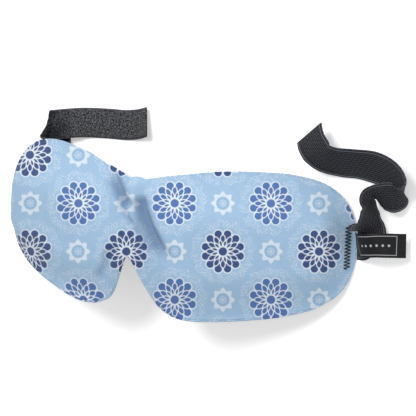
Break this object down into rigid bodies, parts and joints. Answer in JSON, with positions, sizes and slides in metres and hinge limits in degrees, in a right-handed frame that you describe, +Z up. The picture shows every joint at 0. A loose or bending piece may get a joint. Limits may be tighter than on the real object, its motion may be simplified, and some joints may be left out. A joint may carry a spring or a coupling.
{
  "type": "contoured sleep mask",
  "caption": "Contoured fabric sleep mask with two raised eye domes, a nose notch, an elastic strap with a hook patch, a loop-tape tab and a folded woven label.",
  "frame": {"origin": "middle of the footprint, on the table that the mask lies on", "axes": "+X towards the wearer's left temple (the strap side), +Y towards the forehead, +Z up, away from the face"},
  "size_m": [0.2473, 0.1068, 0.0496],
  "materials": {
    "front_cover": "printed satin weave",
    "foam_core": "open-cell foam",
    "back_lining": "soft matt knit",
    "edge_seam": "turned seam",
    "left_bar_tack": "polyester thread",
    "right_bar_tack": "polyester thread",
    "elastic_strap": "ribbed woven elastic, rubber cores in polyester",
    "hook_patch": "moulded hooks",
    "hook_patch_stitches": "polyester thread",
    "loop_tab_ground": "woven nylon",
    "loop_tab_pile": "brushed loop pile",
    "woven_label": "satin woven label"
  },
  "bodies": {
    "mask": {"front_cover": "front_cover", "foam_core": "foam_core", "back_lining": "back_lining", "edge_seam": "edge_seam", "left_bar_tack": "left_bar_tack", "right_bar_tack": "right_bar_tack"},
    "strap": {"elastic_strap": "elastic_strap", "hook_patch": "hook_patch", "hook_patch_stitches": "hook_patch_stitches"},
    "label": {"woven_label": "woven_label"},
    "tab": {"loop_tab_ground": "loop_tab_ground", "loop_tab_pile": "loop_tab_pile"}
  },
  "joints": [
    {"name": "strap_seam", "type": "hinge", "parent": "mask", "child": "strap", "pos_m": [0.09203, -0.00444, 0.002], "axis": [0, -0.9962, -0.0872], "range_deg": [0, 40]},
    {"name": "tab_seam", "type": "hinge", "parent": "mask", "child": "tab", "pos_m": [-0.12337, -0.00544, 0.00195], "axis": [0, 0.9962, 0.0872], "range_deg": [0, 170]},
    {"name": "label_seam", "type": "hinge", "parent": "strap", "child": "label", "pos_m": [0.09383, -0.00524, 0.0048], "axis": [0, -0.9962, -0.0872], "range_deg": [0, 30], "stiffness_Nm_per_rad": 0.0006}
  ]
}
